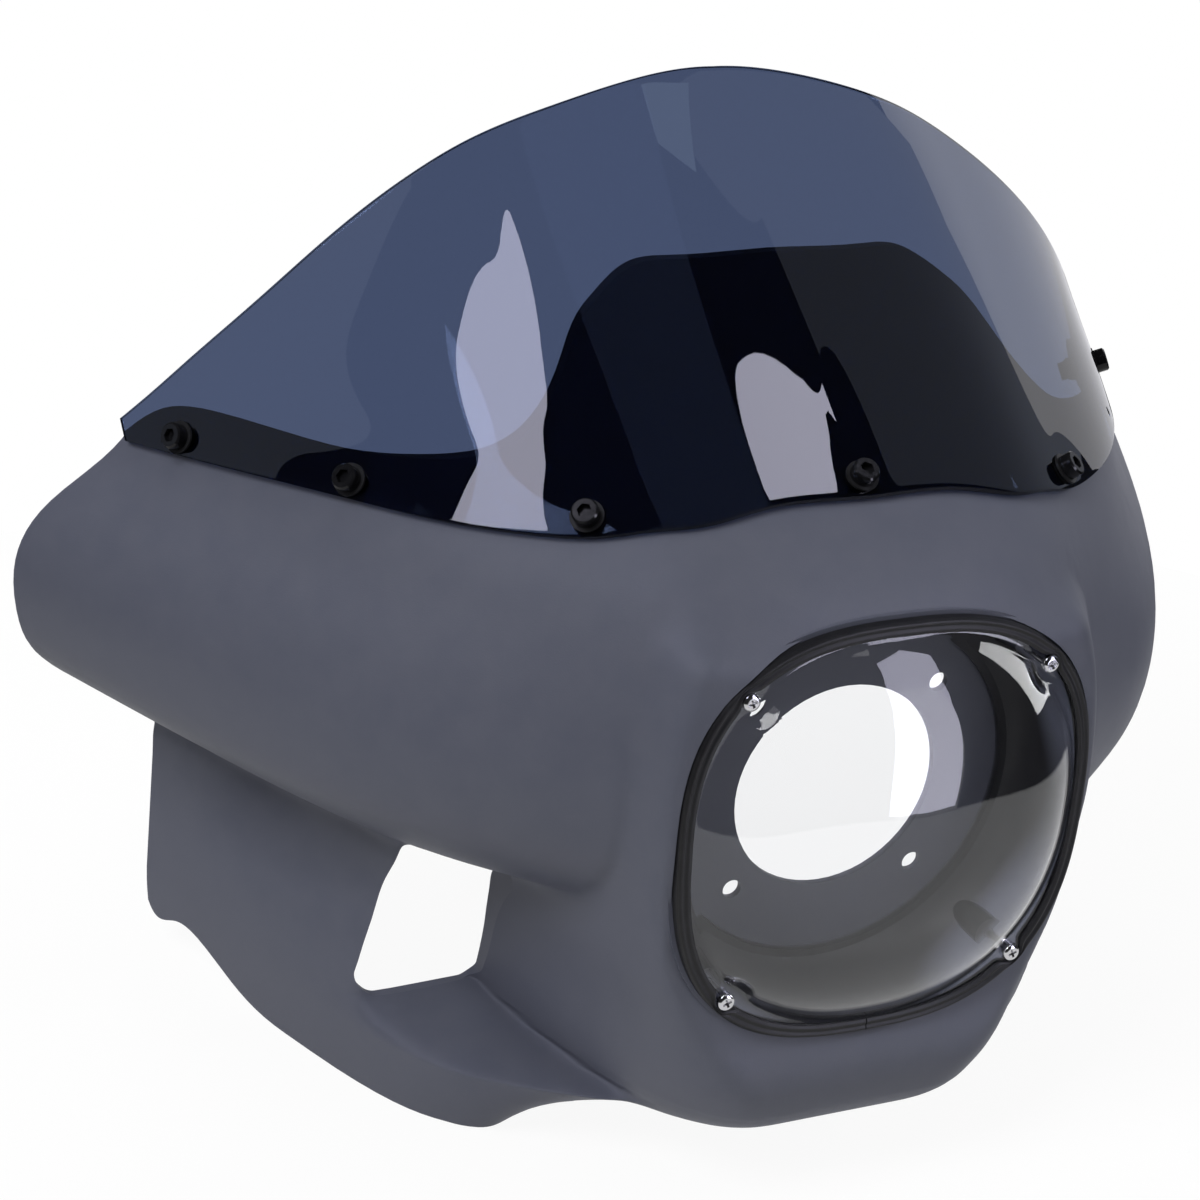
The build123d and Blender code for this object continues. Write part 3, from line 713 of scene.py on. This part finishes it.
# Cards seen only in the gloss: azimuth from -Y to +X and elevation of the middle, outline in metres,
# colour, strength, and how often its corners are cut to round them
cards = {
    "screenStripLeft": (-80, 58, (
        (0.34, 0.40), (0.22, 0.35), (0.14, 0.25), (0.10, 0.10), (0.0, -0.08), (-0.10, -0.22),
        (-0.14, -0.9), (0.20, -0.9), (0.23, -0.5), (0.24, -0.25), (0.22, -0.08), (0.21, 0.14)),
        softWhite, 8.0, 3),
    "screenStripMiddle": (77, 65, (
        (-0.04, 0.18), (-0.12, 0.02), (-0.13, -0.08), (-0.04, -0.08), (0.02, 0.08), (0.08, 0.24),
        (0.05, 0.29), (0.0, 0.24)),
        softWhite, 8.0, 2),
    "screenPatch": (80, 66, (
        (-0.18, 0.32), (-0.26, 0.08), (-0.15, 0.10), (-0.12, 0.28)),
        (0.62, 0.78, 1.0), 1.0, 0),
    "screenRight": (95, 40, (
        (0.08, 1.50), (0.14, 1.30), (0.20, 1.16), (0.25, 1.02), (0.45, 0.80), (0.30, -1.60),
        (-1.10, -1.60), (-1.15, -1.21), (-1.00, -0.80), (-0.59, -0.11), (-0.20, 0.60), (-0.05, 1.09)),
        (0.75, 0.82, 1.0), 0.35, 3),
    "screenLeftPanel": (-95, 45, (
        (0.22, 0.95), (0.08, 0.60), (0.04, 0.20), (0.12, -0.25), (0.30, -0.70), (0.50, -1.10), (0.60, -1.60),
        (1.80, -2.40), (1.80, 0.90)),
        (0.72, 0.80, 1.0), 0.45, 3),
    "rearRight": (127, 5, (
        (-0.65, -0.9), (0.65, -0.9), (0.65, 1.3), (-0.65, 1.3)),
        (0.95, 0.95, 1.0), 0.9, 0),
    "lensStrip": (31, 5, (
        (-0.23, -0.95), (0.29, -0.95), (0.30, -0.34), (0.32, 0.41), (0.25, 1.44), (-0.05, 2.84),
        (-0.82, 3.20), (-0.90, 2.48), (-0.42, 1.28), (-0.26, 0.47), (-0.24, -0.16)),
        softWhite, 7.0, 0),
}
# Soft lamps that face the origin, unseen in the gloss: place, size in metres and power in watts
lamps = {
    "overheadSoftbox": ((0.0, -0.3, 2.4), (1.6, 1.6), 13.0),
    "steepLeftSoftbox": ((-1.6, -0.6, 1.9), (1.0, 1.0), 50.0),
    "leftSoftbox": ((-2.3, -0.6, 0.9), (1.2, 1.8), 8.0),
    "frontStrip": ((1.35, -2.2, 0.3), (0.5, 2.2), 4.0),
    "rightSoftbox": ((2.4, -0.2, 0.8), (1.0, 1.6), 38.0),
    "rearSoftbox": ((0.3, 2.3, 1.2), (1.8, 1.2), 24.0),
}


def emissionMaterial(name, colour, strength):
    material, tree = newMaterial(name)
    glow = addNode(tree, "ShaderNodeEmission", {"Color": (*colour, 1), "Strength": strength})
    out = tree.nodes.new("ShaderNodeOutputMaterial")
    tree.links.new(glow.outputs["Emission"], out.inputs["Surface"])
    return material


def makeCard(name, azimuth, elevation, outline, colour, strength, cornerCuts):
    # flat card that faces the origin from a direction, seen in the gloss alone
    a, e = math.radians(azimuth), math.radians(elevation)
    away = np.array([math.sin(a) * math.cos(e), -math.cos(a) * math.cos(e), math.sin(e)])
    side = np.cross(away, (0, 0, 1))
    side /= np.linalg.norm(side)
    up = np.cross(side, away)
    outline = np.array(outline)
    cut = studio["cardCorner"]
    for _ in range(cornerCuts):
        after = np.roll(outline, -1, axis=0)
        cuts = [(1 - cut) * outline + cut * after, cut * outline + (1 - cut) * after]
        outline = np.stack(cuts, 1).reshape(-1, 2)
    corners = studio["cardDistance"] * away + outline @ np.stack([side, up])
    mesh = bpy.data.meshes.new(name)
    mesh.from_pydata(corners.tolist(), [], [tuple(range(len(corners)))])
    mesh.materials.append(emissionMaterial(name, colour, strength))
    card = bpy.data.objects.new(name, mesh)
    bpy.context.scene.collection.objects.link(card)
    for ray in ("camera", "diffuse", "transmission", "shadow"):
        setattr(card, "visible_" + ray, False)


def makeLamp(name, place, size, power):
    data = bpy.data.lights.new(name, "AREA")
    data.shape = "RECTANGLE"
    data.size, data.size_y = size
    data.energy = power
    lamp = bpy.data.objects.new(name, data)
    lamp.location = place
    lamp.rotation_euler = (-Vector(place)).to_track_quat("-Z", "Y").to_euler()
    lamp.visible_glossy = False
    bpy.context.scene.collection.objects.link(lamp)


def makeFloor():
    # pale disc below the object; it glows white for what looks at it, and the rest takes the shadow
    turn = np.linspace(0, 2 * np.pi, studio["floorSides"] + 1)[:-1]
    height = cadBox[0][2] - studio["floorDrop"]
    ring = np.stack([studio["floorRadius"] * np.cos(turn), studio["floorRadius"] * np.sin(turn)], 1)
    points = [(x, y, height) for x, y in ring.tolist()]
    mesh = bpy.data.meshes.new("floor")
    mesh.from_pydata(points, [], [tuple(range(len(points)))])
    material, tree = newMaterial("floorWhite")
    link = tree.links.new
    matt = addNode(tree, "ShaderNodeBsdfDiffuse", {"Color": studio["floorWhite"]})
    glow = tree.nodes.new("ShaderNodeEmission")
    path = tree.nodes.new("ShaderNodeLightPath")
    level = addNode(tree, "ShaderNodeMapRange", {"To Min": 1.0, "To Max": studio["floorGloss"]})
    link(path.outputs["Glossy Depth"], level.inputs["Value"])
    link(level.outputs["Result"], glow.inputs["Strength"])
    seen = addNode(tree, "ShaderNodeMath", operation="ADD")
    link(path.outputs["Is Camera Ray"], seen.inputs[0])
    link(path.outputs["Is Glossy Ray"], seen.inputs[1])
    anyLook = addNode(tree, "ShaderNodeMath", operation="ADD", use_clamp=True)
    link(seen.outputs[0], anyLook.inputs[0])
    link(path.outputs["Is Transmission Ray"], anyLook.inputs[1])
    share = addNode(tree, "ShaderNodeMath", {1: 1 - studio["floorShadow"]}, operation="MULTIPLY")
    link(anyLook.outputs[0], share.inputs[0])
    mix = tree.nodes.new("ShaderNodeMixShader")
    link(share.outputs[0], mix.inputs["Fac"])
    link(matt.outputs["BSDF"], mix.inputs[1])
    link(glow.outputs["Emission"], mix.inputs[2])
    out = tree.nodes.new("ShaderNodeOutputMaterial")
    link(mix.outputs["Shader"], out.inputs["Surface"])
    mesh.materials.append(material)
    floor = bpy.data.objects.new("floor", mesh)
    bpy.context.scene.collection.objects.link(floor)


def makeWorld():
    # white for what looks straight or through the clear parts, dark in the gloss, plain grey as light
    world = bpy.data.worlds.new("studio")
    world.use_nodes = True
    tree = world.node_tree
    tree.nodes.clear()
    link = tree.links.new
    path = tree.nodes.new("ShaderNodeLightPath")
    seen = addNode(tree, "ShaderNodeMath", operation="ADD", use_clamp=True)
    link(path.outputs["Is Camera Ray"], seen.inputs[0])
    link(path.outputs["Is Transmission Ray"], seen.inputs[1])
    mirrored = addNode(tree, "ShaderNodeMath", {1: 0.5}, operation="GREATER_THAN")
    link(path.outputs["Glossy Depth"], mirrored.inputs[0])
    light = addNode(tree, "ShaderNodeMix", data_type="FLOAT")
    link(seen.outputs[0], light.inputs["Factor"])
    light.inputs["A"].default_value = studio["worldGrey"]
    light.inputs["B"].default_value = 1.0
    level = addNode(tree, "ShaderNodeMix", data_type="FLOAT")
    link(mirrored.outputs[0], level.inputs["Factor"])
    link(light.outputs["Result"], level.inputs["A"])
    level.inputs["B"].default_value = studio["worldGloss"]
    sky = addNode(tree, "ShaderNodeBackground", {"Color": (1, 1, 1, 1)})
    link(level.outputs["Result"], sky.inputs["Strength"])
    out = tree.nodes.new("ShaderNodeOutputWorld")
    link(sky.outputs["Background"], out.inputs["Surface"])
    bpy.context.scene.world = world


makeFloor()
makeWorld()
for name, card in cards.items():
    makeCard(name, *card)
for name, (place, size, power) in lamps.items():
    makeLamp(name, place, size, power)
bpy.context.scene.view_settings.view_transform = "Standard"
print("studio set")
